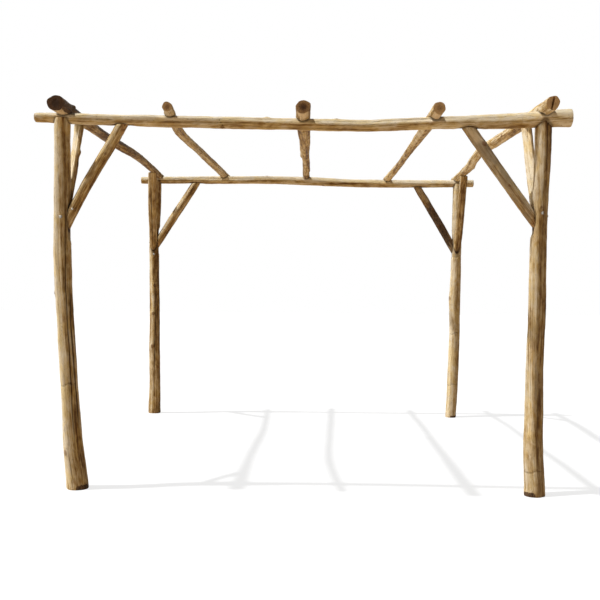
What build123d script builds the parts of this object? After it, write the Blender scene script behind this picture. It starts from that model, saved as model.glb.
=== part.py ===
from build123d import *
import os

# A pergola of peeled round poles, in millimetres, +Z up, with the origin on the ground under its middle.
# Four posts carry a front and a rear beam, five rafters lie notched across the beams, and at every post
# one knee brace runs up to the beam and another up to the rafter over the post.

# Layout of the frame
POST_SPACING = 3000.0            # left to right, between the post heads
FRAME_SPACING = 3000.0           # front to rear, between the beams
BEAM_HEIGHT = 2335.0             # ground to the straight line that a beam bends about
FRONT_BEAM_OVERHANG = 170.0      # beam end beyond the post
REAR_BEAM_OVERHANG = 150.0
RAFTER_OVERHANG = 250.0          # longest rafter end beyond the beam
INNER_RAFTER_OFFSET = 830.0      # from the middle rafter to the ones beside it

# Thickness of the poles
POST_DIAMETER = 104.0
BEAM_DIAMETER = 76.0
RAFTER_DIAMETER = 78.0
BRACE_DIAMETER = 72.0

# Knee braces: from the post's pith along the beam or rafter to the middle of the brace's head, and from the
# beam's line down the post to the middle of its foot
BEAM_BRACE_REACH = 400.0
BEAM_BRACE_DROP = 620.0
RAFTER_BRACE_REACH = 380.0
RAFTER_BRACE_DROP = 600.0

# Joints
RAFTER_NOTCH = 22.0              # depth to which a rafter is hollowed over a beam
POST_HOUSING = 10.0              # depth of the flat cut in a post for a brace's foot
HEAD_HOUSING = 6.0               # depth of the flat cut under a beam or rafter for a brace's head
HOUSING_MARGIN = 25.0            # length of that flat beyond the brace, at both ends
SEAT_GAP = 0.3                   # play of a round seat around the pole that it fits

# Height of a post's horns, from the beam's pith down, as a share of the beam's radius
SADDLE_SHARE = 0.1

# Round sections from one row of a pole's growth to the next
SECTIONS_PER_ROW = 4

# How each pole grew. The rows are evenly spaced from the foot up, from the left or from the front.
# A row holds two sideways bends, as shares of the pole's length, and the girth as a share of its diameter.
# Posts bend to the right and to the rear.
FRONT_LEFT_POST_SHARES = (
    (0.0428, 0.0060, 1.35), (0.0309, 0.0030, 1.17), (0.0236, -0.0010, 1.03),
    (0.0160, -0.0040, 1.01), (0.0080, -0.0030, 0.99), (0.0009, 0.0010, 1.03),
    (-0.0004, 0.0030, 1.01), (-0.0006, 0.0010, 0.98), (0.0, 0.0, 0.97))
FRONT_RIGHT_POST_SHARES = (
    (-0.0115, -0.0080, 1.21), (-0.0150, -0.0030, 1.12), (-0.0132, 0.0020, 1.05),
    (-0.0118, 0.0050, 0.99), (-0.0089, 0.0040, 1.00), (-0.0090, 0.0, 0.96),
    (-0.0069, -0.0030, 0.93), (-0.0021, -0.0020, 0.93), (0.0, 0.0, 0.98))
REAR_LEFT_POST_SHARES = (
    (-0.0051, 0.0110, 1.14), (-0.0020, 0.0070, 1.02), (-0.0034, 0.0030, 1.01),
    (-0.0030, 0.0, 0.97), (-0.0047, 0.0020, 0.93), (-0.0077, 0.0050, 0.91),
    (-0.0080, 0.0040, 0.96), (-0.0034, 0.0020, 0.97), (0.0, 0.0, 0.96))
REAR_RIGHT_POST_SHARES = (
    (-0.0197, -0.0070, 1.02), (-0.0133, -0.0030, 1.04), (-0.0088, 0.0010, 1.06),
    (-0.0055, 0.0040, 1.01), (-0.0068, 0.0050, 1.08), (-0.0042, 0.0020, 0.99),
    (-0.0039, -0.0010, 0.96), (-0.0017, -0.0010, 0.96), (0.0, 0.0, 0.96))

# Beams bend to the rear and upwards.
FRONT_BEAM_SHARES = (
    (-0.0010, -0.0002, 0.86), (0.0010, -0.0033, 0.93), (0.0030, -0.0055, 0.99),
    (0.0030, -0.0078, 0.98), (0.0010, -0.0107, 0.97), (-0.0020, -0.0130, 0.95),
    (-0.0030, -0.0074, 0.99), (-0.0010, -0.0030, 1.17), (0.0010, 0.0047, 1.41))
REAR_BEAM_SHARES = (
    (0.0010, -0.0018, 0.89), (-0.0010, -0.0006, 0.95), (-0.0040, 0.0, 1.01),
    (-0.0050, 0.0011, 1.01), (-0.0020, -0.0010, 1.10), (0.0020, -0.0055, 1.04),
    (0.0040, -0.0067, 1.04), (0.0020, -0.0064, 0.98), (-0.0010, -0.0048, 0.93))

# Rafters bend upwards and to the right.
LEFT_RAFTER_SHARES = (
    (0.0, 0.0025, 1.26), (0.0, 0.0045, 1.10), (0.0009, 0.0052, 0.95),
    (0.0002, 0.0075, 0.93), (0.0, 0.0122, 0.99), (0.0020, 0.0143, 0.90),
    (0.0010, 0.0131, 0.88), (-0.0012, 0.0108, 0.85), (-0.0034, 0.0075, 0.83))
LEFT_MIDDLE_RAFTER_SHARES = (
    (-0.0010, 0.0060, 0.81), (0.0, -0.0060, 0.80), (0.0008, -0.0138, 0.83),
    (0.0022, -0.0143, 0.78), (0.0030, -0.0107, 0.78), (0.0022, -0.0075, 0.83),
    (0.0012, -0.0029, 0.87), (0.0, 0.0003, 0.88), (-0.0020, 0.0044, 0.88))
MIDDLE_RAFTER_SHARES = (
    (0.0, 0.0034, 1.10), (0.0, 0.0019, 1.11), (0.0010, 0.0017, 1.10),
    (0.0020, 0.0015, 1.00), (0.0030, -0.0003, 0.98), (0.0020, 0.0011, 0.85),
    (0.0010, 0.0010, 0.92), (0.0, -0.0014, 0.91), (0.0, -0.0014, 0.88))
RIGHT_MIDDLE_RAFTER_SHARES = (
    (0.0, -0.0008, 0.99), (0.0, -0.0003, 0.96), (0.0010, 0.0006, 0.88),
    (0.0, -0.0007, 0.79), (-0.0010, -0.0024, 0.73), (0.0010, -0.0010, 0.71),
    (0.0020, -0.0020, 0.73), (0.0, -0.0066, 0.80), (0.0, -0.0094, 0.80))
RIGHT_RAFTER_SHARES = (
    (0.0, 0.0020, 1.12), (0.0028, -0.0015, 1.13), (0.0032, -0.0064, 1.03),
    (0.0041, -0.0125, 1.07), (0.0065, -0.0199, 1.00), (0.0058, -0.0151, 1.02),
    (0.0029, -0.0058, 1.01), (0.0015, -0.0035, 0.93), (0.0010, -0.0030, 0.91))

# Braces bend out of the plane of the corner and away from the corner.
FRONT_LEFT_BEAM_BRACE_SHARES = (
    (0.0, -0.0050, 0.96), (0.0060, -0.0100, 0.98), (0.0080, -0.0090, 1.00),
    (0.0050, 0.0010, 0.98), (0.0, 0.0, 0.97))
FRONT_RIGHT_BEAM_BRACE_SHARES = (
    (0.0, 0.0, 0.99), (-0.0060, 0.0050, 1.01), (-0.0070, 0.0070, 1.03),
    (-0.0030, 0.0030, 1.03), (0.0, 0.0, 1.01))
REAR_LEFT_BEAM_BRACE_SHARES = (
    (0.0, 0.0, 1.12), (0.0080, 0.0030, 1.14), (0.0090, 0.0030, 1.15),
    (0.0040, 0.0040, 1.13), (0.0, 0.0, 1.10))
REAR_RIGHT_BEAM_BRACE_SHARES = (
    (0.0, 0.0, 0.97), (-0.0050, -0.0030, 0.95), (-0.0070, -0.0020, 0.96),
    (-0.0040, 0.0010, 0.97), (0.0, 0.0, 0.95))
FRONT_LEFT_RAFTER_BRACE_SHARES = (
    (0.0, 0.0, 0.92), (0.0, 0.0060, 0.90), (0.0, 0.0120, 0.88),
    (0.0, 0.0060, 0.90), (0.0, 0.0, 0.90))
FRONT_RIGHT_RAFTER_BRACE_SHARES = (
    (0.0, 0.0, 0.97), (-0.0060, -0.0050, 0.95), (-0.0080, -0.0090, 0.94),
    (-0.0040, -0.0040, 0.93), (0.0, 0.0, 0.91))
REAR_LEFT_RAFTER_BRACE_SHARES = (
    (0.0, 0.0, 1.08), (0.0060, 0.0060, 1.06), (0.0100, 0.0080, 1.06),
    (0.0060, 0.0040, 1.10), (0.0, 0.0, 1.14))
REAR_RIGHT_RAFTER_BRACE_SHARES = (
    (0.0, 0.0, 1.01), (-0.0060, -0.0060, 0.99), (-0.0090, -0.0110, 0.98),
    (-0.0050, -0.0060, 0.97), (0.0, 0.0, 0.95))

# Rafters from left to right: how the pole grew, its place as a share of the post spacing or of the inner
# offset, its front and rear ends as shares of the longest overhang, and its front notch as a share of the depth
RAFTERS = {
    "left_rafter": {"shares": LEFT_RAFTER_SHARES, "post_share": -0.5, "inner_share": 0.0,
                    "end_shares": (0.68, 0.56), "notch_share": 1.1},
    "left_middle_rafter": {"shares": LEFT_MIDDLE_RAFTER_SHARES, "post_share": 0.0, "inner_share": -1.0,
                           "end_shares": (0.74, 1.00), "notch_share": 0.8},
    "middle_rafter": {"shares": MIDDLE_RAFTER_SHARES, "post_share": 0.0, "inner_share": 0.0,
                      "end_shares": (1.00, 0.76), "notch_share": 1.0},
    "right_middle_rafter": {"shares": RIGHT_MIDDLE_RAFTER_SHARES, "post_share": 0.0, "inner_share": 1.0,
                            "end_shares": (0.78, 0.90), "notch_share": 1.0},
    "right_rafter": {"shares": RIGHT_RAFTER_SHARES, "post_share": 0.5, "inner_share": 0.0,
                     "end_shares": (0.72, 0.52), "notch_share": 1.5},
}

# Corners of the frame: the way that its braces run inwards, how the post and the braces grew, the reach and
# drop of the two braces as shares of the sizes above, and how far round the post, in degrees towards the
# beam brace, the rafter brace's foot sits
CORNERS = {
    "front_left": {"inward": (1, 1), "beam": "front_beam", "rafter": "left_rafter",
                   "post_shares": FRONT_LEFT_POST_SHARES,
                   "beam_brace_shares": FRONT_LEFT_BEAM_BRACE_SHARES,
                   "rafter_brace_shares": FRONT_LEFT_RAFTER_BRACE_SHARES,
                   "beam_leg_shares": (0.93, 1.045), "rafter_leg_shares": (0.80, 0.78),
                   "foot_turn": 40.0},
    "front_right": {"inward": (-1, 1), "beam": "front_beam", "rafter": "right_rafter",
                    "post_shares": FRONT_RIGHT_POST_SHARES,
                    "beam_brace_shares": FRONT_RIGHT_BEAM_BRACE_SHARES,
                    "rafter_brace_shares": FRONT_RIGHT_RAFTER_BRACE_SHARES,
                    "beam_leg_shares": (1.11, 0.985), "rafter_leg_shares": (0.97, 0.91),
                    "foot_turn": 15.0},
    "rear_left": {"inward": (1, -1), "beam": "rear_beam", "rafter": "left_rafter",
                  "post_shares": REAR_LEFT_POST_SHARES,
                  "beam_brace_shares": REAR_LEFT_BEAM_BRACE_SHARES,
                  "rafter_brace_shares": REAR_LEFT_RAFTER_BRACE_SHARES,
                  "beam_leg_shares": (1.03, 0.975), "rafter_leg_shares": (1.0, 1.025),
                  "foot_turn": 0.0},
    "rear_right": {"inward": (-1, -1), "beam": "rear_beam", "rafter": "right_rafter",
                   "post_shares": REAR_RIGHT_POST_SHARES,
                   "beam_brace_shares": REAR_RIGHT_BEAM_BRACE_SHARES,
                   "rafter_brace_shares": REAR_RIGHT_RAFTER_BRACE_SHARES,
                   "beam_leg_shares": (0.97, 1.04), "rafter_leg_shares": (0.97, 1.04),
                   "foot_turn": 0.0},
}

RIGHT = Vector(1, 0, 0)
REAR = Vector(0, 1, 0)
UP = Vector(0, 0, 1)


def along_curve(values, share):
    """Value at a share of the way along an evenly spaced row, on a smooth curve through all its entries."""
    last = len(values) - 1
    place = share * last
    low = min(max(int(place), 0), last - 1)
    step = place - low
    here, there = values[low], values[low + 1]
    slope_here = (there - values[max(low - 1, 0)]) / 2
    slope_there = (values[min(low + 2, last)] - here) / 2
    ease = step * step * (3 - 2 * step)
    return (here + (there - here) * ease
            + slope_here * step * (1 - step) ** 2 - slope_there * step ** 2 * (1 - step))


class Pole:
    """A round pole about a straight line from start to end, with the bends and girths of its own growth."""

    def __init__(self, start, end, sides, diameter, shares):
        self.start = start
        self.chord = end - start
        self.sides = sides
        self.diameter = diameter
        self.shares = shares

    def column(self, index, share):
        return along_curve([row[index] for row in self.shares], share)

    def bend(self, index, share):
        return self.sides[index] * (self.column(index, share) * self.chord.length)

    def pith(self, share):
        return self.start + self.chord * share + self.bend(0, share) + self.bend(1, share)

    def radius(self, share):
        return self.column(2, share) * self.diameter / 2

    def thickest(self):
        return max(row[2] for row in self.shares) * self.diameter / 2

    def share_at(self, point, direction):
        """Share of the way along at which the pole passes a point, both measured in one direction."""
        return (point - self.start).dot(direction) / self.chord.dot(direction)

    def solid(self, gap=0.0):
        """The whole round pole, thicker all round by the gap when it is the tool that cuts a seat."""
        normal = self.sides[0].cross(self.sides[1])
        spaces = (len(self.shares) - 1) * SECTIONS_PER_ROW
        sections = []
        for place in range(spaces + 1):
            share = place / spaces
            plane = Plane(origin=self.pith(share), x_dir=self.sides[0], z_dir=normal)
            sections.append(plane * Circle(self.radius(share) + gap))
        return loft(sections)


class Housing:
    """A flat cut in a pole's side, square to an outward direction, on which the end of a brace sits."""

    def __init__(self, pole, share, outward, along, depth):
        self.radius = pole.radius(share)
        self.depth = depth
        self.outward = outward
        self.along = along
        self.centre = pole.pith(share) + outward * (self.radius - depth)
        self.plane = Plane(origin=self.centre, x_dir=along, z_dir=outward)

    def cutter(self, brace):
        """The block that cuts the flat, long enough to clear the brace where it leaves the pole's side."""
        line = brace.chord.normalized()
        steepness = abs(line.dot(self.outward))
        run_out = self.depth * abs(line.dot(self.along))
        half = (brace.thickest() + run_out) / steepness + HOUSING_MARGIN
        block = Box(2 * half, 2 * self.radius, 2 * self.depth, align=(Align.CENTER, Align.CENTER, Align.MIN))
        return self.plane * block


def make_beam(depth_place, overhang, shares):
    half_length = POST_SPACING / 2 + overhang
    start = Vector(-half_length, depth_place, BEAM_HEIGHT)
    end = Vector(half_length, depth_place, BEAM_HEIGHT)
    return Pole(start, end, (REAR, UP), BEAM_DIAMETER, shares)


def make_rafter(place, beams, growth):
    """A rafter whose pith passes each beam so high that its notch has the stated depth there."""
    front_end, rear_end = [RAFTER_OVERHANG * share for share in growth["end_shares"]]
    length = front_end + FRAME_SPACING + rear_end
    first_share, second_share = front_end / length, 1 - rear_end / length
    level = Pole(Vector(0, 0, 0), REAR * length, (UP, RIGHT), RAFTER_DIAMETER, growth["shares"])
    depths = (RAFTER_NOTCH * growth["notch_share"], RAFTER_NOTCH)
    heights = []
    for beam, share, depth in zip(beams, (first_share, second_share), depths):
        over = beam.share_at(RIGHT * place, RIGHT)
        rise = beam.radius(over) + level.radius(share) - depth
        heights.append(beam.pith(over).Z + rise - level.bend(0, share).Z)
    slope = (heights[1] - heights[0]) / FRAME_SPACING
    start = Vector(place, -FRAME_SPACING / 2 - front_end, heights[0] - slope * front_end)
    end = Vector(place, FRAME_SPACING / 2 + rear_end, heights[1] + slope * rear_end)
    return Pole(start, end, (UP, RIGHT), RAFTER_DIAMETER, growth["shares"])


def make_post(place, beam, shares):
    """A post whose pith ends below the beam's pith, so that its hollowed head has horns at both sides."""
    over = beam.share_at(RIGHT * place, RIGHT)
    seat = beam.pith(over)
    head = seat - UP * (SADDLE_SHARE * beam.radius(over))
    return Pole(Vector(seat.X, seat.Y, 0), head, (RIGHT, REAR), POST_DIAMETER, shares)


def make_brace(post, carried, inward, reach, drop, turn, shares):
    """A knee brace from a post to the beam or rafter over it, with the flat housings for its two ends."""
    foot_share = post.share_at(UP * (BEAM_HEIGHT - drop), UP)
    head_share = carried.share_at(post.pith(foot_share) + inward * reach, inward)
    foot = Housing(post, foot_share, inward.rotate(Axis.Z, turn), UP, POST_HOUSING)
    head = Housing(carried, head_share, -UP, inward, HEAD_HOUSING)
    line = (head.centre - foot.centre).normalized()
    out_of_plane = line.cross(UP).normalized()
    sides = (out_of_plane, line.cross(out_of_plane))
    spare = line * (2 * BRACE_DIAMETER)
    return Pole(foot.centre - spare, head.centre + spare, sides, BRACE_DIAMETER, shares), foot, head


def between(brace, foot, head):
    """The brace's solid, sawn off flat at both housings."""
    solid = split(brace.solid(), bisect_by=foot.plane, keep=Keep.TOP)
    return split(solid, bisect_by=head.plane, keep=Keep.TOP)


beams = {
    "front_beam": make_beam(-FRAME_SPACING / 2, FRONT_BEAM_OVERHANG, FRONT_BEAM_SHARES),
    "rear_beam": make_beam(FRAME_SPACING / 2, REAR_BEAM_OVERHANG, REAR_BEAM_SHARES),
}
rafters = {}
for name, growth in RAFTERS.items():
    place = POST_SPACING * growth["post_share"] + INNER_RAFTER_OFFSET * growth["inner_share"]
    rafters[name] = make_rafter(place, list(beams.values()), growth)

seats = {name: beam.solid(SEAT_GAP) for name, beam in beams.items()}
pieces = {name: beam.solid() for name, beam in beams.items()}
for name, rafter in rafters.items():
    pieces[name] = rafter.solid() - seats["front_beam"] - seats["rear_beam"]

for corner, growth in CORNERS.items():
    right_step, rear_step = growth["inward"]
    beam, rafter = beams[growth["beam"]], rafters[growth["rafter"]]
    post = make_post(-right_step * POST_SPACING / 2, beam, growth["post_shares"])
    post_solid = post.solid() - seats[growth["beam"]]

    reach_share, drop_share = growth["beam_leg_shares"]
    beam_brace, beam_foot, beam_head = make_brace(
        post, beam, RIGHT * right_step, BEAM_BRACE_REACH * reach_share, BEAM_BRACE_DROP * drop_share,
        0, growth["beam_brace_shares"])
    reach_share, drop_share = growth["rafter_leg_shares"]
    rafter_brace, rafter_foot, rafter_head = make_brace(
        post, rafter, REAR * rear_step, RAFTER_BRACE_REACH * reach_share, RAFTER_BRACE_DROP * drop_share,
        -right_step * rear_step * growth["foot_turn"], growth["rafter_brace_shares"])

    pieces[corner + "_post"] = post_solid - beam_foot.cutter(beam_brace) - rafter_foot.cutter(rafter_brace)
    pieces[growth["beam"]] = pieces[growth["beam"]] - beam_head.cutter(beam_brace)
    pieces[growth["rafter"]] = pieces[growth["rafter"]] - rafter_head.cutter(rafter_brace)
    pieces[corner + "_beam_brace"] = between(beam_brace, beam_foot, beam_head)
    pieces[corner + "_rafter_brace"] = (between(rafter_brace, rafter_foot, rafter_head)
                                        - beam_brace.solid(SEAT_GAP))

os.makedirs("parts", exist_ok=True)
for name, piece in pieces.items():
    solid = piece.solid()
    solid.label = name
    export_step(solid, os.path.join("parts", name + ".step"))
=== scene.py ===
import math
from collections import namedtuple

import bmesh
import bpy
import numpy as np
from mathutils import Matrix, Vector
from mathutils.bvhtree import BVHTree


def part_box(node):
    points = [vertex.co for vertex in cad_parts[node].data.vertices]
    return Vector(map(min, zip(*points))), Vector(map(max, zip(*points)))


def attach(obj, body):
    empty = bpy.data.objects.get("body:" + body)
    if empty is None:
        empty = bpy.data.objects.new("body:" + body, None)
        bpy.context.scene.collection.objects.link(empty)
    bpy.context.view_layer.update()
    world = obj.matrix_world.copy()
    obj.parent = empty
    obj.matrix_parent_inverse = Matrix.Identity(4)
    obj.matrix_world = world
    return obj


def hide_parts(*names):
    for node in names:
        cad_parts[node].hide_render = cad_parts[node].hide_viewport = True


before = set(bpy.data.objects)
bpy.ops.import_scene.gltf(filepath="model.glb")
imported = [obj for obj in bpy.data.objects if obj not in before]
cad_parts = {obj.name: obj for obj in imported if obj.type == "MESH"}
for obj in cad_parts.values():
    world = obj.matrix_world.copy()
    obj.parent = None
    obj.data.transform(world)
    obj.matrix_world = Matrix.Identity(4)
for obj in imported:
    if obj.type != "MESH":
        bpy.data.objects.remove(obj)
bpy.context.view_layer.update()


# Corner posts
# Four crooked tree poles, peeled with a drawknife and left round, stand on sawn feet.
# Each top is coped to a saddle, and its two horns hold the beam from the front and the rear.

RAY_REACH = 0.3
SWEEP_RAYS = 61
STATION_PITCH = 0.03
FEWEST_STATIONS = 6
END_STATIONS = 3
ROUND_RAYS = 36
ROUND_FITS = 4
ROUND_TOLERANCE = 0.0012
RING_PITCH = 0.009
COLUMNS = 72
CAP_INSETS = (0.05, 0.1, 0.13, 0.13, 0.13, 0.13, 0.13, 0.1)
PROBE_ROOM = 0.03
INSIDE_RIM = 0.999
NEAR_RIM = 0.96
RIM_WEAR = 0.0018
JOINT_SOFTENING = 2
NOTCH_DEPTHS = (-0.004, -0.001)
NOTCH_SHADE = 0.6
SPLIT_WALL = (0.5, 1.0)
SPLIT_ENDS = (0.8, 0.9)
SHADE_AND_GRIME_REACH = 0.02
SHADE_AND_GRIME_STRENGTH = 0.7
SHARP_EDGE = math.radians(50)
TINY = 1e-6
FRONT = np.array((0.0, -1.0, 0.0))
UP = np.array((0.0, 0.0, 1.0))
# This direction points to the key lamp: the side of each pole facing it is painted paler and the far side
# darker, painted sunlight and shade together with some sun bleaching.
PAINTED_SUN_SIDE = np.array((-0.45, -0.1, 0.89))
PAINTED_SUN_FROM = -0.1
PAINTED_SUN_FULLY = 0.35

# Places on a pole: at and to are shares of its length, degrees turn round it from its facing side
Seam = namedtuple("Seam", "at to degrees end_degrees depth width")
Knot = namedtuple("Knot", "at degrees radius height")
Flat = namedtuple("Flat", "at to degrees depth")
Bark = namedtuple("Bark", "at to degrees width")
FreshAndLit = namedtuple("FreshAndLit", "at to degrees width")
Split = namedtuple("Split", "degrees width depth")
Crease = namedtuple("Crease", "at degrees width depth")

depsgraph = bpy.context.evaluated_depsgraph_get()
solids = {node: BVHTree.FromObject(solid, depsgraph) for node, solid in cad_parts.items()}


def wrapped(angle):
    return (angle + math.pi) % (2 * math.pi) - math.pi


def smooth_step(low, high, value):
    share = np.clip((value - low) / (high - low), 0, 1)
    return share * share * (3 - 2 * share)


SLOW_FADE = 0.25


def window(share, at, to, fade=SLOW_FADE):
    """One between two shares of the length, falling off smoothly inside both of them."""
    room = fade * (to - at)
    return smooth_step(at, at + room, share) * (1 - smooth_step(to - room, to, share))


def fit_round(points):
    """Centre and radius of the circle through points, leaving out those cut by a joint."""
    kept = points
    for _ in range(ROUND_FITS):
        sides = np.column_stack((2 * kept, np.ones(len(kept))))
        a, b, c = np.linalg.lstsq(sides, (kept ** 2).sum(axis=1), rcond=None)[0]
        radius = math.sqrt(c + a * a + b * b)
        off = np.abs(np.hypot(points[:, 0] - a, points[:, 1] - b) - radius)
        kept = points[off < max(ROUND_TOLERANCE, np.median(off))]
    return np.array((a, b)), radius


class Log:
    """A peeled pole: the line of its pith and its girth are read off the CAD solid."""

    def __init__(self, node, lengthwise, facing, foot_room, head_room):
        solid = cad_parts[node]
        self.node = node
        self.surface = solids[node]
        corners = np.array([vertex.co for vertex in solid.data.vertices])
        self.middle = (corners.min(axis=0) + corners.max(axis=0)) / 2
        self.lengthwise = lengthwise / np.linalg.norm(lengthwise)
        square = facing - facing @ self.lengthwise * self.lengthwise
        self.facing = square / np.linalg.norm(square)
        self.across = np.cross(self.lengthwise, self.facing)
        along = (corners - self.middle) @ self.lengthwise
        self.low = along.min()
        self.high = along.max()
        self.length = self.high - self.low
        self.foot_room = foot_room
        self.head_room = head_room
        self.read_pith(self.low + foot_room, self.high - head_room)

    def outward(self, theta):
        return np.outer(np.cos(theta), self.facing) + np.outer(np.sin(theta), self.across)

    def hit(self, origin, direction, reach=2 * RAY_REACH):
        return self.surface.ray_cast(Vector(origin), Vector(direction), reach)

    def sweep(self, base, sideways, looking):
        """Middle of the stretch that parallel rays strike at one place along the pole."""
        struck = []
        for offset in np.linspace(-RAY_REACH / 2, RAY_REACH / 2, SWEEP_RAYS):
            if self.hit(base + offset * sideways - RAY_REACH * looking, looking)[0]:
                struck.append(offset)
        return (struck[0] + struck[-1]) / 2 * sideways

    def read_pith(self, first, last):
        count = max(FEWEST_STATIONS, round((last - first) / STATION_PITCH))
        self.stations = np.linspace(first, last, count)
        theta = np.linspace(0, 2 * math.pi, ROUND_RAYS, endpoint=False)
        pith = []
        girth = []
        for along in self.stations:
            base = self.middle + along * self.lengthwise
            base = base + self.sweep(base, self.across, self.facing)
            base = base + self.sweep(base, self.facing, self.across)
            points = []
            for out in self.outward(theta):
                struck = self.hit(base + RAY_REACH * out, -out)[0]
                if struck:
                    offset = np.array(struck) - base
                    points.append((offset @ self.facing, offset @ self.across))
            centre, radius = fit_round(np.array(points))
            pith.append(base + centre[0] * self.facing + centre[1] * self.across)
            girth.append(radius)
        self.add_ends(np.array(pith), np.array(girth))

    def add_ends(self, pith, girth):
        """Carries the pith and the girth straight on past the first and the last station."""
        spare = self.length
        step = self.stations[END_STATIONS] - self.stations[0]
        lead = (pith[END_STATIONS] - pith[0]) / step
        trail = (pith[-1] - pith[-1 - END_STATIONS]) / step
        self.stations = np.concatenate(
            ([self.stations[0] - spare], self.stations, [self.stations[-1] + spare])
        )
        self.pith = np.concatenate(([pith[0] - spare * lead], pith, [pith[-1] + spare * trail]))
        self.girth = np.concatenate(([girth[0]], girth, [girth[-1]]))

    def pith_at(self, along):
        return np.column_stack([np.interp(along, self.stations, column) for column in self.pith.T])

    def girth_at(self, along):
        return np.interp(along, self.stations, self.girth)

    def ends(self, theta, share, start, heading):
        """Where the end's face lies, for lines that run inside the pole at a share of its girth."""
        start_along = np.full(len(theta), start)
        goal_along = start_along + heading
        out = self.outward(theta)
        begin = self.pith_at(start_along) + (share * self.girth_at(start_along))[:, None] * out
        goal = self.pith_at(goal_along) + (share * self.girth_at(goal_along))[:, None] * out
        found = np.full(len(theta), np.nan)
        for index, (origin, target) in enumerate(zip(begin, goal)):
            struck = self.hit(origin, target - origin, np.linalg.norm(target - origin))[0]
            if struck:
                found[index] = (np.array(struck) - self.middle) @ self.lengthwise
        missed = np.isnan(found)
        order = np.argsort(theta[~missed])
        found[missed] = np.interp(
            theta[missed], theta[~missed][order], found[~missed][order], period=2 * math.pi
        )
        return found

    def shape(self, look):
        """The pole's finished mesh, with the relief that its look asks for."""
        body = bmesh.new()
        bmesh.ops.create_cone(
            body,
            cap_ends=True,
            segments=COLUMNS,
            radius1=1,
            radius2=1,
            depth=1,
            matrix=Matrix.Translation((0, 0, 0.5)),
        )
        staves = [edge for edge in body.edges if abs(edge.verts[0].co.z - edge.verts[1].co.z) > 0.5]
        cuts = round(self.length / RING_PITCH)
        bmesh.ops.subdivide_edges(body, edges=staves, cuts=cuts, use_grid_fill=True)
        for cap in [face for face in body.faces if len(face.verts) > 4]:
            for inset in CAP_INSETS:
                bmesh.ops.inset_region(body, faces=[cap], thickness=inset, use_even_offset=True)
            bmesh.ops.poke(body, faces=[cap])
        mesh = bpy.data.meshes.new(self.node)
        body.to_mesh(mesh)
        body.free()
        self.place_vertices(mesh, look)
        mesh.polygons.foreach_set("use_smooth", np.ones(len(mesh.polygons), bool))
        mesh.set_sharp_from_angle(angle=SHARP_EDGE)
        return mesh

    def place_vertices(self, mesh, look):
        unit = np.empty(len(mesh.vertices) * 3)
        mesh.vertices.foreach_get("co", unit)
        unit = unit.reshape(-1, 3)
        theta = np.arctan2(unit[:, 1], unit[:, 0])
        core = np.minimum(np.hypot(unit[:, 0], unit[:, 1]), 1)
        share = unit[:, 2]
        capped = core < INSIDE_RIM
        turns = np.linspace(-math.pi, math.pi, COLUMNS + 1)
        near_rim = np.full(len(turns), NEAR_RIM)
        foot_start = self.low + self.foot_room + PROBE_ROOM
        head_start = self.high - self.head_room - PROBE_ROOM
        foot_reach = -self.foot_room - 2 * PROBE_ROOM
        head_reach = self.head_room + 2 * PROBE_ROOM
        foot = self.ends(turns, near_rim, foot_start, foot_reach)
        head = self.ends(turns, near_rim, head_start, head_reach)
        column_foot = np.interp(theta, turns, foot)
        column_head = np.interp(theta, turns, head)
        along = column_foot + share * (column_head - column_foot)
        low_cap = capped & (share < 0.5)
        high_cap = capped & (share > 0.5)
        inner = np.minimum(core, NEAR_RIM)
        along[low_cap] = self.ends(theta[low_cap], inner[low_cap], foot_start, foot_reach)
        along[high_cap] = self.ends(theta[high_cap], inner[high_cap], head_start, head_reach)
        out = self.outward(theta)
        pith = self.pith_at(along)
        girth = self.girth_at(along)
        radius = girth.copy()
        for index in np.flatnonzero(~capped):
            struck = self.hit(pith[index] + RAY_REACH * out[index], -out[index], RAY_REACH)[0]
            if struck:
                radius[index] = (np.array(struck) - pith[index]) @ out[index]
        radius = girth - self.soften(girth - radius, theta, share, capped)
        whole = smooth_step(*NOTCH_DEPTHS, radius - girth)
        from_foot = along - self.low
        relief, marks, fresh_and_lit = look.relief(from_foot, from_foot / self.length, theta, girth)
        radius = radius + relief * whole
        radius[~capped & ((share < TINY) | (share > 1 - TINY))] -= RIM_WEAR
        radius = radius * core
        for split in look.splits:
            off = np.abs(radius * np.sin(theta - math.radians(split.degrees))) / split.width
            torn = low_cap * (1 - smooth_step(*SPLIT_WALL, off)) * (1 - smooth_step(*SPLIT_ENDS, core))
            along = along + torn * split.depth
            marks[:, 1] += torn
        place = self.pith_at(along) + radius[:, None] * out
        mesh.vertices.foreach_set("co", place.ravel())
        # Painted contact shade and dirt near the other poles.
        marks[:, 1] += SHADE_AND_GRIME_STRENGTH * self.shade_and_grime(place)
        marks[:, 3] = capped
        tone = np.where(capped, look.end_tone, look.tone)
        # Painted shade on the cut faces inside notches and housings.
        marks[:, 1] += NOTCH_SHADE * (1 - whole) * ~capped
        spun = theta + look.spiral * along
        grain = np.column_stack(
            (radius * np.cos(spun), radius * np.sin(spun), along - self.low + look.seed)
        )
        # Painted sunlight and shade: paler on the side facing the key lamp, darker away from it, with some
        # sun bleaching.
        bleached_and_painted_sun = look.bleach_and_painted_sun * smooth_step(PAINTED_SUN_FROM, PAINTED_SUN_FULLY, out @ PAINTED_SUN_SIDE)
        weather_and_painted_sun = np.column_stack((bleached_and_painted_sun, tone, np.full(len(theta), look.grey), fresh_and_lit))
        for name, kind, field, values in (
            ("grain", "FLOAT_VECTOR", "vector", grain),
            ("marks", "FLOAT_COLOR", "color", marks),
            ("weather_and_painted_sun", "FLOAT_COLOR", "color", weather_and_painted_sun),
        ):
            mesh.attributes.new(name, kind, "POINT").data.foreach_set(field, values.ravel())

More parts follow.
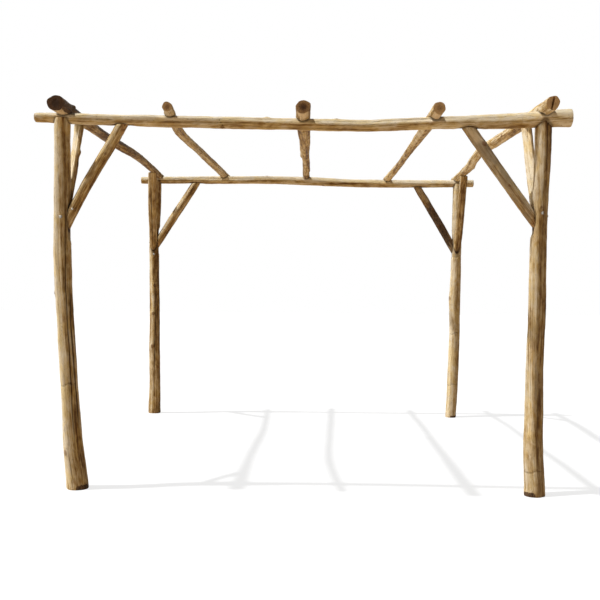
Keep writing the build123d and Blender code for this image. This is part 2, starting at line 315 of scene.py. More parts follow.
    def shade_and_grime(self, place):
        """Nought to one for how near a place is to another pole: painted contact shade in the joints,
        together with the dirt and damp that gather there.
        """
        apart = np.full(len(place), SHADE_AND_GRIME_REACH)
        for node, surface in solids.items():
            if node == self.node:
                continue
            low, high = (np.array(corner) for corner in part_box(node))
            near = (place > low - SHADE_AND_GRIME_REACH) & (place < high + SHADE_AND_GRIME_REACH)
            for index in np.flatnonzero(near.all(axis=1)):
                distance = surface.find_nearest(Vector(place[index]), SHADE_AND_GRIME_REACH)[3]
                if distance is not None:
                    apart[index] = min(apart[index], distance)
        return 1 - smooth_step(0, SHADE_AND_GRIME_REACH, apart)

    def soften(self, cut, theta, share, capped):
        """Eases the ends of the notches and housings along the pole, as a chisel leaves them."""
        side = np.flatnonzero(~capped)
        column = np.round(theta[side] * COLUMNS / (2 * math.pi)).astype(int) % COLUMNS
        order = side[np.lexsort((share[side], column))].reshape(COLUMNS, -1)
        span = 2 * JOINT_SOFTENING + 1
        padded = np.pad(cut[order], ((0, 0), (JOINT_SOFTENING, JOINT_SOFTENING)), mode="edge")
        rings = order.shape[1]
        eased = cut.copy()
        eased[order] = sum(padded[:, step : step + rings] for step in range(span)) / span
        return eased

    def make(self, look, material, slot):
        self.piece = bpy.data.objects.new(self.node + "_wood", self.shape(look))
        self.piece.data.materials.append(material)
        bpy.context.scene.collection.objects.link(self.piece)
        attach(self.piece, "root")
        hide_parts(self.node)
        self.finished = BVHTree.FromPolygons(
            [vertex.co for vertex in self.piece.data.vertices],
            [face.vertices for face in self.piece.data.polygons],
        )

    def seat(self, share, degrees):
        """A place on the finished surface and the way out of the wood there."""
        theta = np.array([math.radians(degrees)])
        out = self.outward(theta)[0]
        along = np.array([self.low + share * self.length])
        pith = self.pith_at(along)[0]
        struck = self.finished.ray_cast(Vector(pith + RAY_REACH * out), Vector(-out), RAY_REACH)[0]
        return np.array(struck), out


LOBES = (2, 3, 5, 7)
LOBE_DRIFT = 0.6
RIPPLE_WAVES = (0.52, 0.31, 0.19, 0.11, 0.06)
RIPPLE_SWAY = 1.5
FLAT_STARTS = (-0.1, 0.8)
FLAT_LENGTHS = (0.15, 0.5)
FLAT_DEPTHS = (0.001, 0.0035)


class Look:
    """What makes one pole unlike another: its lobes, ripples, knots, seams, flats and colour."""

    def __init__(
        self,
        seed,
        lobe=0.0016,
        ripple=0.0006,
        spiral=0.5,
        tone=0.0,
        end_tone=0.0,
        grey=0.0,
        # How strongly painted sunlight and shade, with sun bleaching, lighten the lamp side and darken the
        # far side.
        bleach_and_painted_sun=0.6,
        flats=14,
        features=(),
        splits=(),
    ):
        self.seed = seed
        self.lobe = lobe
        self.ripple = ripple
        self.spiral = spiral
        self.tone = tone
        self.end_tone = end_tone
        self.grey = grey
        self.bleach_and_painted_sun = bleach_and_painted_sun
        self.flats = flats
        self.features = features
        self.splits = splits

    def drawknife_flats(self, chance):
        """Long shallow flats that the drawknife left, spread over the pole by chance."""
        flats = []
        for _ in range(self.flats):
            at = chance.uniform(*FLAT_STARTS)
            to = at + chance.uniform(*FLAT_LENGTHS)
            degrees = chance.uniform(-180, 180)
            flats.append(Flat(at, to, degrees, chance.uniform(*FLAT_DEPTHS)))
        return tuple(flats)

    def relief(self, along, share, theta, girth):
        chance = np.random.default_rng(self.seed)
        relief = np.zeros(len(theta))
        marks = np.zeros((len(theta), 4))
        fresh_and_lit = np.zeros(len(theta))
        for count in LOBES:
            turn = chance.uniform(0, 2 * math.pi)
            drift = chance.normal(0, LOBE_DRIFT)
            relief += 2 * self.lobe / count * np.cos(count * (theta - turn - drift * along))
        for wave in RIPPLE_WAVES:
            turn = chance.uniform(0, 2 * math.pi)
            phase = chance.uniform(0, 2 * math.pi)
            swing = np.sin(2 * math.pi * along / wave + phase + RIPPLE_SWAY * np.cos(theta - turn))
            relief += self.ripple * (wave / RIPPLE_WAVES[0]) ** 0.5 * swing
        for feature in self.features + self.drawknife_flats(chance):
            FEATURES[type(feature)](feature, along, share, theta, girth, relief, marks, fresh_and_lit)
        return relief, marks, fresh_and_lit


SEAM_SWAY = 0.03
SEAM_SWAYS_A_METRE = 9
SEAM_SHAKE = 0.02
SEAM_SHAKES_A_METRE = 23
SEAM_DARK_SHARE = 0.6


def cut_seam(seam, along, share, theta, girth, relief, marks, fresh_and_lit):
    run = np.clip((share - seam.at) / (seam.to - seam.at), 0, 1)
    middle = np.radians(seam.degrees + run * (seam.end_degrees - seam.degrees))
    wander = SEAM_SWAY * np.sin(along * SEAM_SWAYS_A_METRE + seam.degrees)
    wander = wander + SEAM_SHAKE * np.sin(along * SEAM_SHAKES_A_METRE)
    off = wrapped(theta - middle - wander) / math.radians(seam.width)
    present = window(share, seam.at, seam.to)
    relief -= seam.depth * np.exp(-off * off) * present
    marks[:, 1] += np.exp(-(off / SEAM_DARK_SHARE) ** 2) * present


KNOT_STRETCH = 0.75
KNOT_EYE = (0.35, 0.75)


def raise_knot(knot, along, share, theta, girth, relief, marks, fresh_and_lit):
    length = along.max()
    round_it = girth * wrapped(theta - math.radians(knot.degrees))
    off = np.hypot(round_it, KNOT_STRETCH * (along - knot.at * length)) / knot.radius
    relief += knot.height * np.exp(-off * off)
    marks[:, 0] += 1 - smooth_step(*KNOT_EYE, off)


FLAT_LIMIT = 0.3


def cut_flat(flat, along, share, theta, girth, relief, marks, fresh_and_lit):
    turn = np.cos(wrapped(theta - math.radians(flat.degrees)))
    over = girth - (girth - flat.depth) / np.maximum(turn, FLAT_LIMIT)
    relief -= np.maximum(over, 0) * (turn > FLAT_LIMIT) * window(share, flat.at, flat.to)


BARK_EDGE = (0.4, 1.0)
BARK_FADE = 0.45
BARK_THICKNESS = 0.0015


def leave_bark(bark, along, share, theta, girth, relief, marks, fresh_and_lit):
    off = wrapped(theta - math.radians(bark.degrees)) / math.radians(bark.width)
    cover = (1 - smooth_step(*BARK_EDGE, np.abs(off))) * window(share, bark.at, bark.to, BARK_FADE)
    marks[:, 2] += cover
    relief += BARK_THICKNESS * cover


# Pale patches: under the rafters' front ends they are painted light bounced up from the beam, together
# with freshly cut wood; on the front right beam brace a painted pool of sunlight.
FRESH_AND_LIT_EDGE = (0.7, 1.0)
FRESH_AND_LIT_FADE = 0.3


def paint_fresh_and_lit(cut, along, share, theta, girth, relief, marks, fresh_and_lit):
    off = wrapped(theta - math.radians(cut.degrees)) / math.radians(cut.width)
    fresh_and_lit += (1 - smooth_step(*FRESH_AND_LIT_EDGE, np.abs(off))) * window(share, cut.at, cut.to, FRESH_AND_LIT_FADE)


CREASE_SWAY = 0.008
CREASE_SHAKE = 0.004
CREASE_BREADTH = 0.007
CREASE_ENDS = (0.5, 1.0)
CREASE_SHADE = 0.6


def crease_round(crease, along, share, theta, girth, relief, marks, fresh_and_lit):
    turn = wrapped(theta - math.radians(crease.degrees))
    wander = CREASE_SWAY * np.sin(2 * turn) + CREASE_SHAKE * np.sin(5 * turn)
    off = (along - crease.at * along.max() - wander) / CREASE_BREADTH
    reach = 1 - smooth_step(*CREASE_ENDS, np.abs(turn) / math.radians(crease.width))
    present = np.exp(-off * off) * reach
    relief -= crease.depth * present
    # Painted shade along the crease.
    marks[:, 1] += CREASE_SHADE * present


FEATURES = {
    Seam: cut_seam,
    Knot: raise_knot,
    Flat: cut_flat,
    Bark: leave_bark,
    FreshAndLit: paint_fresh_and_lit,
    Crease: crease_round,
}


def linear(red, green, blue):
    """A colour as it is seen on a screen, from 0 to 255, as the shader's own numbers."""
    shares = (value / 255 for value in (red, green, blue))
    return tuple(s / 12.92 if s <= 0.04045 else ((s + 0.055) / 1.055) ** 2.4 for s in shares) + (1.0,)


class Shader:
    """A material's nodes, added one at a time with their inputs."""

    def __init__(self, name):
        self.material = bpy.data.materials.new(name)
        self.material.use_nodes = True
        self.tree = self.material.node_tree
        self.surface = self.tree.nodes["Principled BSDF"]

    def add(self, kind, inputs, **settings):
        node = self.tree.nodes.new(kind)
        for name, value in settings.items():
            setattr(node, name, value)
        for socket, value in inputs.items():
            self.feed(node.inputs[socket], value)
        return node

    def feed(self, socket, value):
        if isinstance(value, bpy.types.NodeSocket):
            self.tree.links.new(value, socket)
        else:
            socket.default_value = value

    def attribute(self, name):
        return self.add("ShaderNodeAttribute", {}, attribute_name=name)

    def parts(self, colour):
        return self.add("ShaderNodeSeparateColor", {"Color": colour}).outputs

    def noise(self, vector, stretch, detail, distortion=0.0):
        scaled = self.add("ShaderNodeMapping", {"Vector": vector, "Scale": stretch})
        inputs = {"Vector": scaled.outputs[0], "Scale": 1.0, "Detail": detail, "Distortion": distortion}
        return self.add("ShaderNodeTexNoise", inputs).outputs["Fac"]

    def sums(self, operation, first, second, clamp=False):
        node = self.add("ShaderNodeMath", {0: first, 1: second}, operation=operation, use_clamp=clamp)
        return node.outputs[0]

    def between(self, value, low, high, start=0.0, end=1.0):
        """Runs smoothly from start to end while the value goes from low to high."""
        inputs = {"Value": value, "From Min": low, "From Max": high, "To Min": start, "To Max": end}
        return self.add("ShaderNodeMapRange", inputs, interpolation_type="SMOOTHSTEP").outputs[0]

    def weigh(self, shares, middle):
        """The middle value, moved by how far each of some values is from a half, times its weight."""
        total = middle - sum(weight for _, weight in shares) / 2
        for value, weight in shares:
            node = self.add("ShaderNodeMath", {0: value, 1: weight, 2: total}, operation="MULTIPLY_ADD")
            total = node.outputs[0]
        return total

    def blend(self, share, first, second, blend_type="MIX"):
        inputs = {0: share, 6: first, 7: second}
        node = self.add("ShaderNodeMix", inputs, data_type="RGBA", blend_type=blend_type)
        return node.outputs[2]

    def ramp(self, value, stops):
        node = self.add("ShaderNodeValToRGB", {"Fac": value})
        elements = node.color_ramp.elements
        while len(elements) < len(stops):
            elements.new(0.5)
        for element, (place, colour) in zip(elements, stops):
            element.position = place
            element.color = colour
        return node.outputs["Color"]

    def end_grain(self, grain, patch, fleck, tone):
        """Rings round the pith of a sawn end, uneven and darker towards the heart."""
        flat = self.add("ShaderNodeVectorMath", {0: grain, 1: (1, 1, 0)}, operation="MULTIPLY").outputs[0]
        radius = self.add("ShaderNodeVectorMath", {0: flat}, operation="LENGTH").outputs["Value"]
        waver = self.sums("MULTIPLY", patch, RING_WAVER)
        turn = self.add("ShaderNodeMath", {0: radius, 1: RING_TURNS, 2: waver}, operation="MULTIPLY_ADD")
        rings = self.between(self.sums("SINE", turn.outputs[0], 0), -1, 1)
        heart = self.between(radius, HEART_RADIUS, SAPWOOD_RADIUS)
        value = self.weigh(((rings, 0.3), (fleck, 0.9), (heart, 0.45), (patch, 0.5)), 0.5)
        value = self.sums("ADD", value, self.sums("MULTIPLY", tone, END_TONE_STRENGTH), clamp=True)
        return self.ramp(value, ((0.1, CHECK_AND_SHADE_BROWN), (0.4, RING_DARK), (0.8, RING_PALE)))


RING_TURNS = 1600
RING_WAVER = 16
HEART_RADIUS = 0.004
SAPWOOD_RADIUS = 0.034
END_TONE_STRENGTH = 2.0
DRY_WOOD_SHEEN = 0.12
WORN_ROUGHNESS = 0.62
RAW_ROUGHNESS = 0.86
GRAIN_DEPTH = 0.005
GRAIN_STRENGTH = 0.8
FIBRE_SCALE = (320, 320, 9)
STREAK_SCALE = (85, 85, 2.2)
BAND_SCALE = (26, 26, 1.4)
PATCH_SCALE = (10, 10, 5)
FLECK_SCALE = (200, 200, 60)
CRACK_SCALE = (150, 150, 3)
BLOTCH_SCALE = (30, 30, 14)
STAIN_SCALE = (16, 16, 7)
WOOD_VALUE = 0.68
FRESH_AND_LIT_SHARE = 0.75
HEARTWOOD = linear(104, 75, 42)
TAN = linear(170, 139, 94)
HONEY = linear(208, 184, 141)
CREAM = linear(234, 220, 192)
WEATHERED = linear(150, 135, 114)
OCHRE_TINT = linear(252, 244, 218)
FRESH_AND_LIT_PALE = linear(232, 208, 168)
KNOT_BROWN = linear(112, 72, 38)
CHECK_AND_SHADE_BROWN = linear(62, 42, 25)
BARK_BROWN = linear(122, 96, 70)
BARK_DARK = linear(48, 34, 24)
RING_DARK = linear(112, 78, 46)
RING_PALE = linear(190, 152, 104)


def peeled_wood(name):
    """Drawknifed round timber: streaked along the grain, with knots, checks, bark and sawn ends, and with
    painted light and shade: a paler side towards the key lamp, a darker side away from it, pale patches of
    painted bounced light and sunlight, and painted shade in joints, notches and creases.
    """
    wood = Shader(name)
    grain = wood.attribute("grain").outputs["Vector"]
    marks = wood.attribute("marks")
    knot, check_and_shade, bark = wood.parts(marks.outputs["Color"])[:3]
    weather_and_painted_sun = wood.attribute("weather_and_painted_sun")
    bleached_and_painted_sun, tone, grey = wood.parts(weather_and_painted_sun.outputs["Color"])[:3]
    fibre = wood.noise(grain, FIBRE_SCALE, 4.0, 0.4)
    streak = wood.noise(grain, STREAK_SCALE, 5.0, 0.6)
    band = wood.noise(grain, BAND_SCALE, 3.0, 0.3)
    patch = wood.noise(grain, PATCH_SCALE, 4.0, 0.8)
    fleck = wood.noise(grain, FLECK_SCALE, 3.0)
    crack = wood.noise(grain, CRACK_SCALE, 2.0, 1.0)
    blotch = wood.noise(grain, BLOTCH_SCALE, 3.0, 0.6)
    # The bleached share paints the side towards the key lamp paler and the far side darker: painted light
    # and shade, with some sun bleaching.
    shades = ((fibre, 0.9), (streak, 1.4), (band, 1.2), (patch, 0.7), (blotch, 0.9), (bleached_and_painted_sun, 0.6))
    value = wood.weigh(shades, WOOD_VALUE)
    value = wood.sums("ADD", value, tone, clamp=True)
    colour = wood.ramp(value, ((0.1, HEARTWOOD), (0.4, TAN), (0.64, HONEY), (1.0, CREAM)))
    stain = wood.noise(grain, STAIN_SCALE, 5.0, 1.2)
    colour = wood.blend(wood.between(stain, 0.42, 0.62), colour, OCHRE_TINT, "MULTIPLY")
    silver = wood.sums("MULTIPLY", wood.between(patch, 0.35, 0.6), grey)
    colour = wood.blend(silver, colour, WEATHERED)
    # Pale patches, in part painted bounced light and a painted pool of sunlight, in part freshly cut wood.
    colour = wood.blend(wood.sums("MULTIPLY", weather_and_painted_sun.outputs["Alpha"], FRESH_AND_LIT_SHARE), colour, FRESH_AND_LIT_PALE)
    specks = wood.between(fleck, 0.6, 0.72, 0.0, 0.5)
    colour = wood.blend(specks, colour, HEARTWOOD)
    colour = wood.blend(wood.between(crack, 0.6, 0.68, 0.0, 0.6), colour, HEARTWOOD)
    ragged = wood.weigh(((bark, 1.1), (streak, 1.3), (patch, 1.3)), 0.5)
    furrow = wood.weigh(((streak, 1.0), (fleck, 1.0)), 0.5)
    rind = wood.ramp(furrow, ((0.3, BARK_DARK), (0.75, BARK_BROWN)))
    colour = wood.blend(wood.between(ragged, 0.55, 0.8), colour, rind)
    burl = wood.weigh(((knot, 1.0), (patch, 0.9), (fleck, 0.6)), 0.5)
    colour = wood.blend(wood.between(burl, 0.3, 1.1, 0.0, 0.7), colour, KNOT_BROWN)
    # Dark checks, seams and splits, together with painted shade from the joints, notches and creases.
    colour = wood.blend(wood.between(check_and_shade, 0.1, 1.1), colour, CHECK_AND_SHADE_BROWN)
    colour = wood.blend(marks.outputs["Alpha"], colour, wood.end_grain(grain, patch, fleck, tone))
    wood.feed(wood.surface.inputs["Base Color"], colour)
    roughness = wood.between(streak, 0.3, 0.7, WORN_ROUGHNESS, RAW_ROUGHNESS)
    wood.feed(wood.surface.inputs["Roughness"], roughness)
    wood.surface.inputs["Specular IOR Level"].default_value = DRY_WOOD_SHEEN
    height = wood.weigh(((streak, 0.9), (fibre, 0.6), (fleck, -0.3), (crack, -0.5)), 0.5)
    raised = {"Strength": GRAIN_STRENGTH, "Distance": GRAIN_DEPTH, "Height": height}
    bump = wood.add("ShaderNodeBump", raised)
    wood.feed(wood.surface.inputs["Normal"], bump.outputs["Normal"])
    return wood.material


POST_HEAD_ROOM = 0.13
POST_FOOT_ROOM = 0.02
POST_LOOKS = {
    "front_left_post": Look(
        11,
        tone=0.15,
        bleach_and_painted_sun=0.9,
        features=(
            Seam(0.02, 0.86, 25, 42, 0.009, 9),
            Seam(0.1, 0.62, 66, 58, 0.004, 14),
            Flat(0.3, 0.75, -20, 0.004),
            Knot(0.1, -36, 0.03, 0.005),
            Knot(0.53, -65, 0.014, 0.005),
            Crease(0.284, -10, 80, 0.0025),
            # A band of bark colour darkens the lowest few centimetres of the foot.
            Bark(-0.015, 0.022, 50, 70),
        ),
    ),
    "front_right_post": Look(
        23,
        tone=0.01,
        grey=0.2,
        features=(
            Seam(0.83, 1.04, 23, 20, 0.007, 6),
            Flat(0.02, 0.97, 22, 0.009),
            Flat(-0.1, 0.45, 34, 0.009),
            Flat(0.05, 0.5, -60, 0.005),
            Crease(0.067, -20, 100, 0.002),
            # A band of bark colour darkens the lowest few centimetres of the foot.
            Bark(-0.012, 0.02, -50, 60),
            Knot(0.54, 7, 0.016, 0.004),
            Knot(0.77, -6, 0.016, 0.003),
        ),
    ),
    "rear_left_post": Look(
        37,
        lobe=0.0022,
        tone=-0.05,
        features=(
            Seam(0.1, 0.66, 6, 20, 0.005, 12),
            Knot(0.55, 14, 0.03, 0.009),
            Knot(0.43, -10, 0.03, 0.008),
            Knot(0.29, -18, 0.032, 0.01),
            Knot(0.2, 40, 0.026, 0.007),
        ),
    ),
    "rear_right_post": Look(
        41,
        tone=0.24,
        features=(
            # Partly a painted shadow: this crease lies where a rafter's cast shadow falls on the post.
            Crease(0.69, 20, 100, 0.002),
            Knot(0.51, -70, 0.034, 0.007),
            Crease(0.36, -20, 90, 0.002),
            Crease(0.14, -30, 110, 0.002),
            # A band of bark colour darkens the lowest few centimetres of the foot.
            Bark(-0.012, 0.018, 40, 90),
        ),
    ),
}

post_wood = peeled_wood("post_wood")
posts = {}
for node, look in POST_LOOKS.items():
    posts[node] = Log(node, UP, FRONT, POST_FOOT_ROOM, POST_HEAD_ROOM)
    posts[node].make(look, post_wood, "post_wood")


# Beams
# Two long slender poles lie level in the saddles of the posts, one at the front and one at the rear.
# They are peeled clean and sawn square at both ends.

RIGHT = np.array((1.0, 0.0, 0.0))
BEAM_END_ROOM = 0.02
BEAM_LOOKS = {
    "front_beam": Look(
        53,
        ripple=0.0008,
        tone=0.23,
        bleach_and_painted_sun=1.0,
        features=(
            Knot(0.352, 50, 0.022, 0.008),
            Seam(0.342, 0.362, -60, 120, 0.004, 10),
            Knot(0.435, -70, 0.016, 0.007),
            Knot(0.565, -75, 0.018, 0.005),
        ),
    ),
    "rear_beam": Look(
        67,
        tone=0.13,
        bleach_and_painted_sun=1.0,
        features=(Knot(0.55, 60, 0.02, 0.004), Knot(0.38, -60, 0.02, 0.004)),
    ),
}

beam_wood = peeled_wood("beam_wood")
beams = {}
for node, look in BEAM_LOOKS.items():
    beams[node] = Log(node, RIGHT, FRONT, BEAM_END_ROOM, BEAM_END_ROOM)
    beams[node].make(look, beam_wood, "beam_wood")


# Rafters
# Five crooked poles lie across the beams, notched underneath where they cross them.
# They are the roughest of the timber, with stubs, splits and some bark left on.

REAR = np.array((0.0, 1.0, 0.0))
RAFTER_END_ROOM = 0.02
RAFTER_LOOKS = {
    "left_rafter": Look(
        71,
        lobe=0.0024,
        tone=-0.08,
        bleach_and_painted_sun=0.1,
        end_tone=-0.28,
        grey=0.35,
        features=(
            Bark(-0.14, 0.12, 10, 170),
            Bark(-0.1, 0.2, 20, 150),
            Bark(0.06, 0.7, 60, 60),
            # Painted light bounced up from the beam under the front end, with freshly cut wood.
            FreshAndLit(-0.01, 0.05, 180, 60),
            Knot(0.066, 60, 0.014, 0.011),
            Knot(0.35, 90, 0.024, 0.006),
            Knot(0.62, 100, 0.026, 0.008),
        ),
    ),
    "left_middle_rafter": Look(
        83,
        tone=0.18,
        bleach_and_painted_sun=0.1,
        end_tone=0.12,
        grey=0.3,
        features=(Knot(0.06, -80, 0.02, 0.01), Knot(0.5, 150, 0.024, 0.005)),
    ),
    "middle_rafter": Look(
        97,
        lobe=0.0024,
        tone=0.04,
        bleach_and_painted_sun=0.1,
        end_tone=-0.05,
        features=(
            # Painted light bounced up from the beam under the front end, with freshly cut wood.
            FreshAndLit(-0.01, 0.05, 180, 60),
            Knot(0.55, -120, 0.03, 0.008),
            Knot(0.8, 120, 0.026, 0.006),
        ),
    ),
    "right_middle_rafter": Look(
        101,
        tone=0.13,
        bleach_and_painted_sun=0.1,
        end_tone=0.13,
        features=(
            # Painted light bounced up from the beam under the front end, with freshly cut wood.
            FreshAndLit(-0.01, 0.05, 180, 60),
            Knot(0.3, 160, 0.022, 0.004),
            Knot(0.94, -120, 0.024, 0.006),
        ),
    ),
    "right_rafter": Look(
        113,
        lobe=0.0022,
        tone=0.21,
        end_tone=0.18,
        bleach_and_painted_sun=0.1,
        features=(
            Knot(0.3, -100, 0.026, 0.006),
            Knot(0.72, 150, 0.026, 0.008),
            Knot(0.9, -90, 0.024, 0.006),
        ),
        splits=(Split(10, 0.006, 0.02),),
    ),
}

rafter_wood = peeled_wood("rafter_wood")
rafters = {}
for node, look in RAFTER_LOOKS.items():
    rafters[node] = Log(node, REAR, UP, RAFTER_END_ROOM, RAFTER_END_ROOM)
    rafters[node].make(look, rafter_wood, "rafter_wood")


# Knee braces
# Short straight poles stiffen every corner, two at each post, one up to the beam and one up to the rafter.
# Their ends are sawn aslant and let into flats on the post and the pole that they carry.

BRACE_END_ROOM = 0.13
BRACE_LOOKS = {
    "front_left_beam_brace": Look(127, tone=0.03, features=(Knot(0.7, 20, 0.018, 0.003),)),
    "front_left_rafter_brace": Look(
        131,
        tone=0.12,
        bleach_and_painted_sun=1.0,
        features=(Flat(0.05, 0.97, -40, 0.018), Knot(0.62, 80, 0.016, 0.01)),
    ),
    "front_right_beam_brace": Look(
        137,
        tone=0.04,
        grey=0.7,
        features=(
            # A painted pool of sunlight near the head.
            FreshAndLit(0.8, 0.97, 20, 70),
            Knot(0.79, 22, 0.026, 0.006),
            Knot(0.4, -10, 0.016, 0.002),
        ),
    ),
    "front_right_rafter_brace": Look(139, tone=0.17, features=(Flat(0.05, 0.97, -40, 0.014),)),
    "rear_left_beam_brace": Look(149, tone=0.04),
    "rear_left_rafter_brace": Look(151, tone=-0.04, features=(Seam(0.05, 0.95, 10, -10, 0.006, 14),)),
    "rear_right_beam_brace": Look(
        157,
        tone=-0.2,
        grey=0.8,
        features=(
            Bark(-0.25, 1.1, 0, 300),
            Knot(0.4, -30, 0.022, 0.007),
            Knot(0.62, 20, 0.018, 0.006),
        ),
    ),
    "rear_right_rafter_brace": Look(163, tone=-0.12, features=(Flat(0.1, 0.9, -30, 0.01),)),
}

brace_wood = peeled_wood("brace_wood")
braces = {}
for node, look in BRACE_LOOKS.items():
    corners = np.array([vertex.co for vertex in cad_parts[node].data.vertices])
    lengthwise = np.linalg.svd(corners - corners.mean(axis=0), full_matrices=False)[2][0]
    lengthwise = lengthwise * np.sign(lengthwise @ UP)
    braces[node] = Log(node, lengthwise, FRONT, BRACE_END_ROOM, BRACE_END_ROOM)
    braces[node].make(look, brace_wood, "brace_wood")


# Bolts
# Domed coach bolts on round washers, zinc coated and gone dull, go through the posts into the braces.
# Smaller screws hold the ends of the braces, and one goes down through each rafter into each beam.

BOLT_RADIUS = 0.007
WASHER_RADIUS = 0.011
WASHER_THICKNESS = 0.0018
DOME_RISE = 0.004
DOME_STEPS = 5
BOLT_COLUMNS = 24
BOLT_SINK = 0.0012
WASHER_EDGE = 0.6
WASHER_FLAT = 0.94
SCREW_SCALE = 0.75
ZINC_CLOUDS = (120, 120, 120)
RUST_SPOTS = (420, 420, 420)
ZINC_METALLIC = 0.85
BRIGHT_ROUGHNESS = 0.38
DULL_ROUGHNESS = 0.6
ZINC = linear(190, 182, 168)
ZINC_DULL = linear(120, 114, 104)
RUST = linear(112, 70, 42)


def dull_zinc():
    """Zinc coated steel, clouded by the weather and rusty in places."""
    steel = Shader("bolt_steel")
    place = steel.add("ShaderNodeTexCoord", {}).outputs["Object"]
    cloud = steel.noise(place, ZINC_CLOUDS, 4.0, 0.5)
    spot = steel.noise(place, RUST_SPOTS, 3.0)
    colour = steel.blend(steel.between(cloud, 0.35, 0.65), ZINC, ZINC_DULL)
    colour = steel.blend(steel.between(spot, 0.6, 0.7, 0.0, 0.7), colour, RUST)
    steel.feed(steel.surface.inputs["Base Color"], colour)
    roughness = steel.between(cloud, 0.3, 0.7, BRIGHT_ROUGHNESS, DULL_ROUGHNESS)
    steel.feed(steel.surface.inputs["Roughness"], roughness)
    steel.surface.inputs["Metallic"].default_value = ZINC_METALLIC
    return steel.material


def bolt_shape(point, out, scale):
    """A domed head on a washer, spun from its outline and set square to the wood."""
    body = bmesh.new()
    outline = [(0, -WASHER_THICKNESS), (WASHER_RADIUS, -WASHER_THICKNESS)]
    outline.append((WASHER_RADIUS, WASHER_EDGE * WASHER_THICKNESS))
    outline.append((WASHER_FLAT * WASHER_RADIUS, WASHER_THICKNESS))
    for step in range(DOME_STEPS + 1):
        turn = step / DOME_STEPS * math.pi / 2
        outline.append((BOLT_RADIUS * math.cos(turn), WASHER_THICKNESS + DOME_RISE * math.sin(turn)))
    corners = [body.verts.new((reach, 0, height)) for reach, height in outline]
    edges = [body.edges.new(pair) for pair in zip(corners, corners[1:])]
    bmesh.ops.spin(
        body,
        geom=corners + edges,
        cent=(0, 0, 0),
        axis=(0, 0, 1),
        angle=2 * math.pi,
        steps=BOLT_COLUMNS,
        use_merge=True,
    )
    bmesh.ops.remove_doubles(body, verts=body.verts, dist=TINY)
    bmesh.ops.recalc_face_normals(body, faces=body.faces)
    turned = Vector(out).to_track_quat("Z", "Y").to_matrix().to_4x4()
    placed = Matrix.Translation(Vector(point - BOLT_SINK * out)) @ turned @ Matrix.Scale(scale, 4)
    bmesh.ops.transform(body, matrix=placed, verts=body.verts)
    return body


def drive_bolt(name, log, share, degrees, scale=1.0):
    point, out = log.seat(share, degrees)
    body = bolt_shape(point, out, scale)
    mesh = bpy.data.meshes.new(name)
    body.to_mesh(mesh)
    body.free()
    mesh.polygons.foreach_set("use_smooth", np.ones(len(mesh.polygons), bool))
    mesh.set_sharp_from_angle(angle=SHARP_EDGE)
    mesh.materials.append(bolt_steel)
    piece = bpy.data.objects.new(name, mesh)
    bpy.context.scene.collection.objects.link(piece)
    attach(piece, "root")


bolt_steel = dull_zinc()
POST_BOLTS = {
    "front_left_post": ((0.735, 3), (0.74, -92)),
    "front_right_post": ((0.752, 0), (0.745, 92)),
    "rear_left_post": ((0.73, 180), (0.735, -92), (0.685, 2)),
    "rear_right_post": ((0.73, 180), (0.74, 92)),
}
for node, places in POST_BOLTS.items():
    for number, (share, degrees) in enumerate(places, start=1):
        drive_bolt(f"{node}_bolt_{number}", posts[node], share, degrees)
BRACE_SCREWS = (("foot", 0.17), ("head", 0.86))
FRONT_SCREWED = "front_left_beam_brace"
for node, log in braces.items():
    for end, share in BRACE_SCREWS:
        side = 0 if node == FRONT_SCREWED and end == "foot" else 180
        drive_bolt(f"{node}_{end}_screw", log, share, side, SCREW_SCALE)
for node, log in rafters.items():
    for beam_node, beam in beams.items():
        share = ((beam.middle - log.middle) @ log.lengthwise - log.low) / log.length
        drive_bolt(f"{node}_{beam_node}_screw", log, share, 0, SCREW_SCALE)


# Ground, light and camera
# A pale floor, a white surround with a low even fill, a high lamp on the left and a broad low one.
# The camera stands in front of the frame, a little right of its middle, at chest height.

FLOOR_SIZE = 60
FLOOR_GLOW = 0.8
FLOOR_WHITE = (0.25, 0.25, 0.25, 1.0)
FLOOR_BOUNCE = (0.6, 0.47, 0.335, 1.0)
FILL = (0.05, 0.047, 0.042, 1.0)
WHITE = (1.0, 1.0, 1.0, 1.0)
KEY_STRENGTH = 3.6
KEY_SPREAD = math.radians(1.5)
KEY_HEIGHT = math.radians(65)
KEY_FORWARD = math.radians(10)
SIDE_STRENGTH = 1.3
SIDE_SPREAD = math.radians(50)
SIDE_HEIGHT = math.radians(15)
SIDE_FORWARD = 0.0
CAMERA_PLACE = (0.092, -6.554, 1.298)
CAMERA_YAW = math.radians(1.05)
CAMERA_PITCH = math.radians(-1.06)
CAMERA_ROLL = math.radians(0.54)
SENSOR = 36.0
LENS = 48.42


def seen_share(tree):
    """One for rays that come from the camera or from a mirror or a pane, and nought for the rest."""
    path = tree.nodes.new("ShaderNodeLightPath")
    total = path.outputs["Is Camera Ray"]
    for name in ("Is Glossy Ray", "Is Transmission Ray"):
        joined = tree.nodes.new("ShaderNodeMath")
        joined.operation = "ADD"
        joined.use_clamp = True
        tree.links.new(total, joined.inputs[0])
        tree.links.new(path.outputs[name], joined.inputs[1])
        total = joined.outputs[0]
    return total


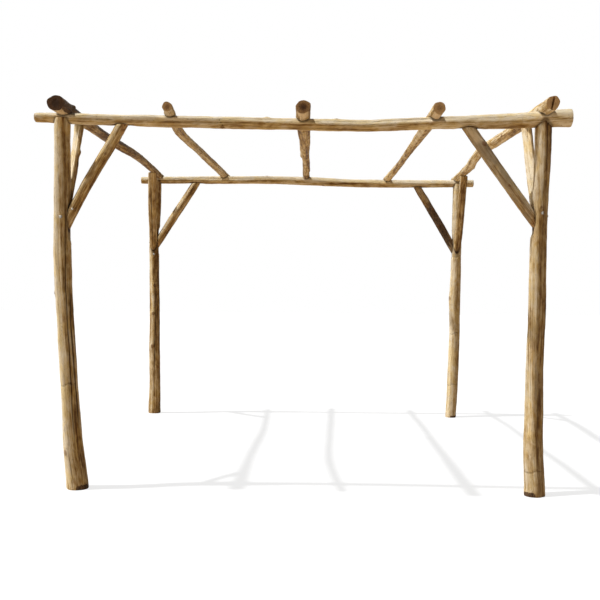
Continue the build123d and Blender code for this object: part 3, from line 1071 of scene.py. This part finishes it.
def floor_material():
    material = bpy.data.materials.new("pale_floor")
    material.use_nodes = True
    tree = material.node_tree
    tree.nodes.remove(tree.nodes["Principled BSDF"])
    glow = tree.nodes.new("ShaderNodeEmission")
    glow.inputs["Strength"].default_value = FLOOR_GLOW
    pale = tree.nodes.new("ShaderNodeBsdfDiffuse")
    pale.inputs["Color"].default_value = FLOOR_WHITE
    bounce = tree.nodes.new("ShaderNodeBsdfDiffuse")
    bounce.inputs["Color"].default_value = FLOOR_BOUNCE
    seen = tree.nodes.new("ShaderNodeAddShader")
    chosen = tree.nodes.new("ShaderNodeMixShader")
    tree.links.new(glow.outputs[0], seen.inputs[0])
    tree.links.new(pale.outputs[0], seen.inputs[1])
    tree.links.new(seen_share(tree), chosen.inputs[0])
    tree.links.new(bounce.outputs[0], chosen.inputs[1])
    tree.links.new(seen.outputs[0], chosen.inputs[2])
    tree.links.new(chosen.outputs[0], tree.nodes["Material Output"].inputs["Surface"])
    return material


floor_shape = bmesh.new()
bmesh.ops.create_grid(floor_shape, x_segments=1, y_segments=1, size=FLOOR_SIZE / 2)
floor_mesh = bpy.data.meshes.new("floor")
floor_shape.to_mesh(floor_mesh)
floor_shape.free()
floor = bpy.data.objects.new("floor", floor_mesh)
floor.data.materials.append(floor_material())
bpy.context.scene.collection.objects.link(floor)

world = bpy.data.worlds.new("white_surround")
bpy.context.scene.world = world
world.use_nodes = True
world_tree = world.node_tree
surround = world_tree.nodes["Background"]
tint = world_tree.nodes.new("ShaderNodeMix")
tint.data_type = "RGBA"
tint.inputs[6].default_value = FILL
tint.inputs[7].default_value = WHITE
world_tree.links.new(seen_share(world_tree), tint.inputs[0])
world_tree.links.new(tint.outputs[2], surround.inputs["Color"])
surround.inputs["Strength"].default_value = 1.0


def hang_lamp(name, strength, spread, height, forward):
    """A far lamp on the left, turned from there towards the front and raised above the ground."""
    lamp = bpy.data.lights.new(name, "SUN")
    lamp.energy = strength
    lamp.angle = spread
    level = math.cos(height)
    to_lamp = Vector((-level * math.cos(forward), -level * math.sin(forward), math.sin(height)))
    lamp_object = bpy.data.objects.new(name, lamp)
    lamp_object.rotation_euler = to_lamp.to_track_quat("Z", "Y").to_euler()
    bpy.context.scene.collection.objects.link(lamp_object)


hang_lamp("key_lamp", KEY_STRENGTH, KEY_SPREAD, KEY_HEIGHT, KEY_FORWARD)
hang_lamp("side_lamp", SIDE_STRENGTH, SIDE_SPREAD, SIDE_HEIGHT, SIDE_FORWARD)

forward = Vector(
    (
        -math.sin(CAMERA_YAW) * math.cos(CAMERA_PITCH),
        math.cos(CAMERA_YAW) * math.cos(CAMERA_PITCH),
        math.sin(CAMERA_PITCH),
    )
)
level_right = Vector((math.cos(CAMERA_YAW), math.sin(CAMERA_YAW), 0))
level_up = level_right.cross(forward)
camera_right = level_right * math.cos(CAMERA_ROLL) + level_up * math.sin(CAMERA_ROLL)
camera_up = level_up * math.cos(CAMERA_ROLL) - level_right * math.sin(CAMERA_ROLL)
camera = bpy.data.cameras.new("camera")
camera.sensor_width = SENSOR
camera.lens = LENS
camera_object = bpy.data.objects.new("camera", camera)
turned = Matrix((camera_right, camera_up, -forward)).transposed()
camera_object.matrix_world = Matrix.Translation(CAMERA_PLACE) @ turned.to_4x4()
bpy.context.scene.collection.objects.link(camera_object)
bpy.context.scene.camera = camera_object
bpy.context.scene.view_settings.view_transform = "Standard"
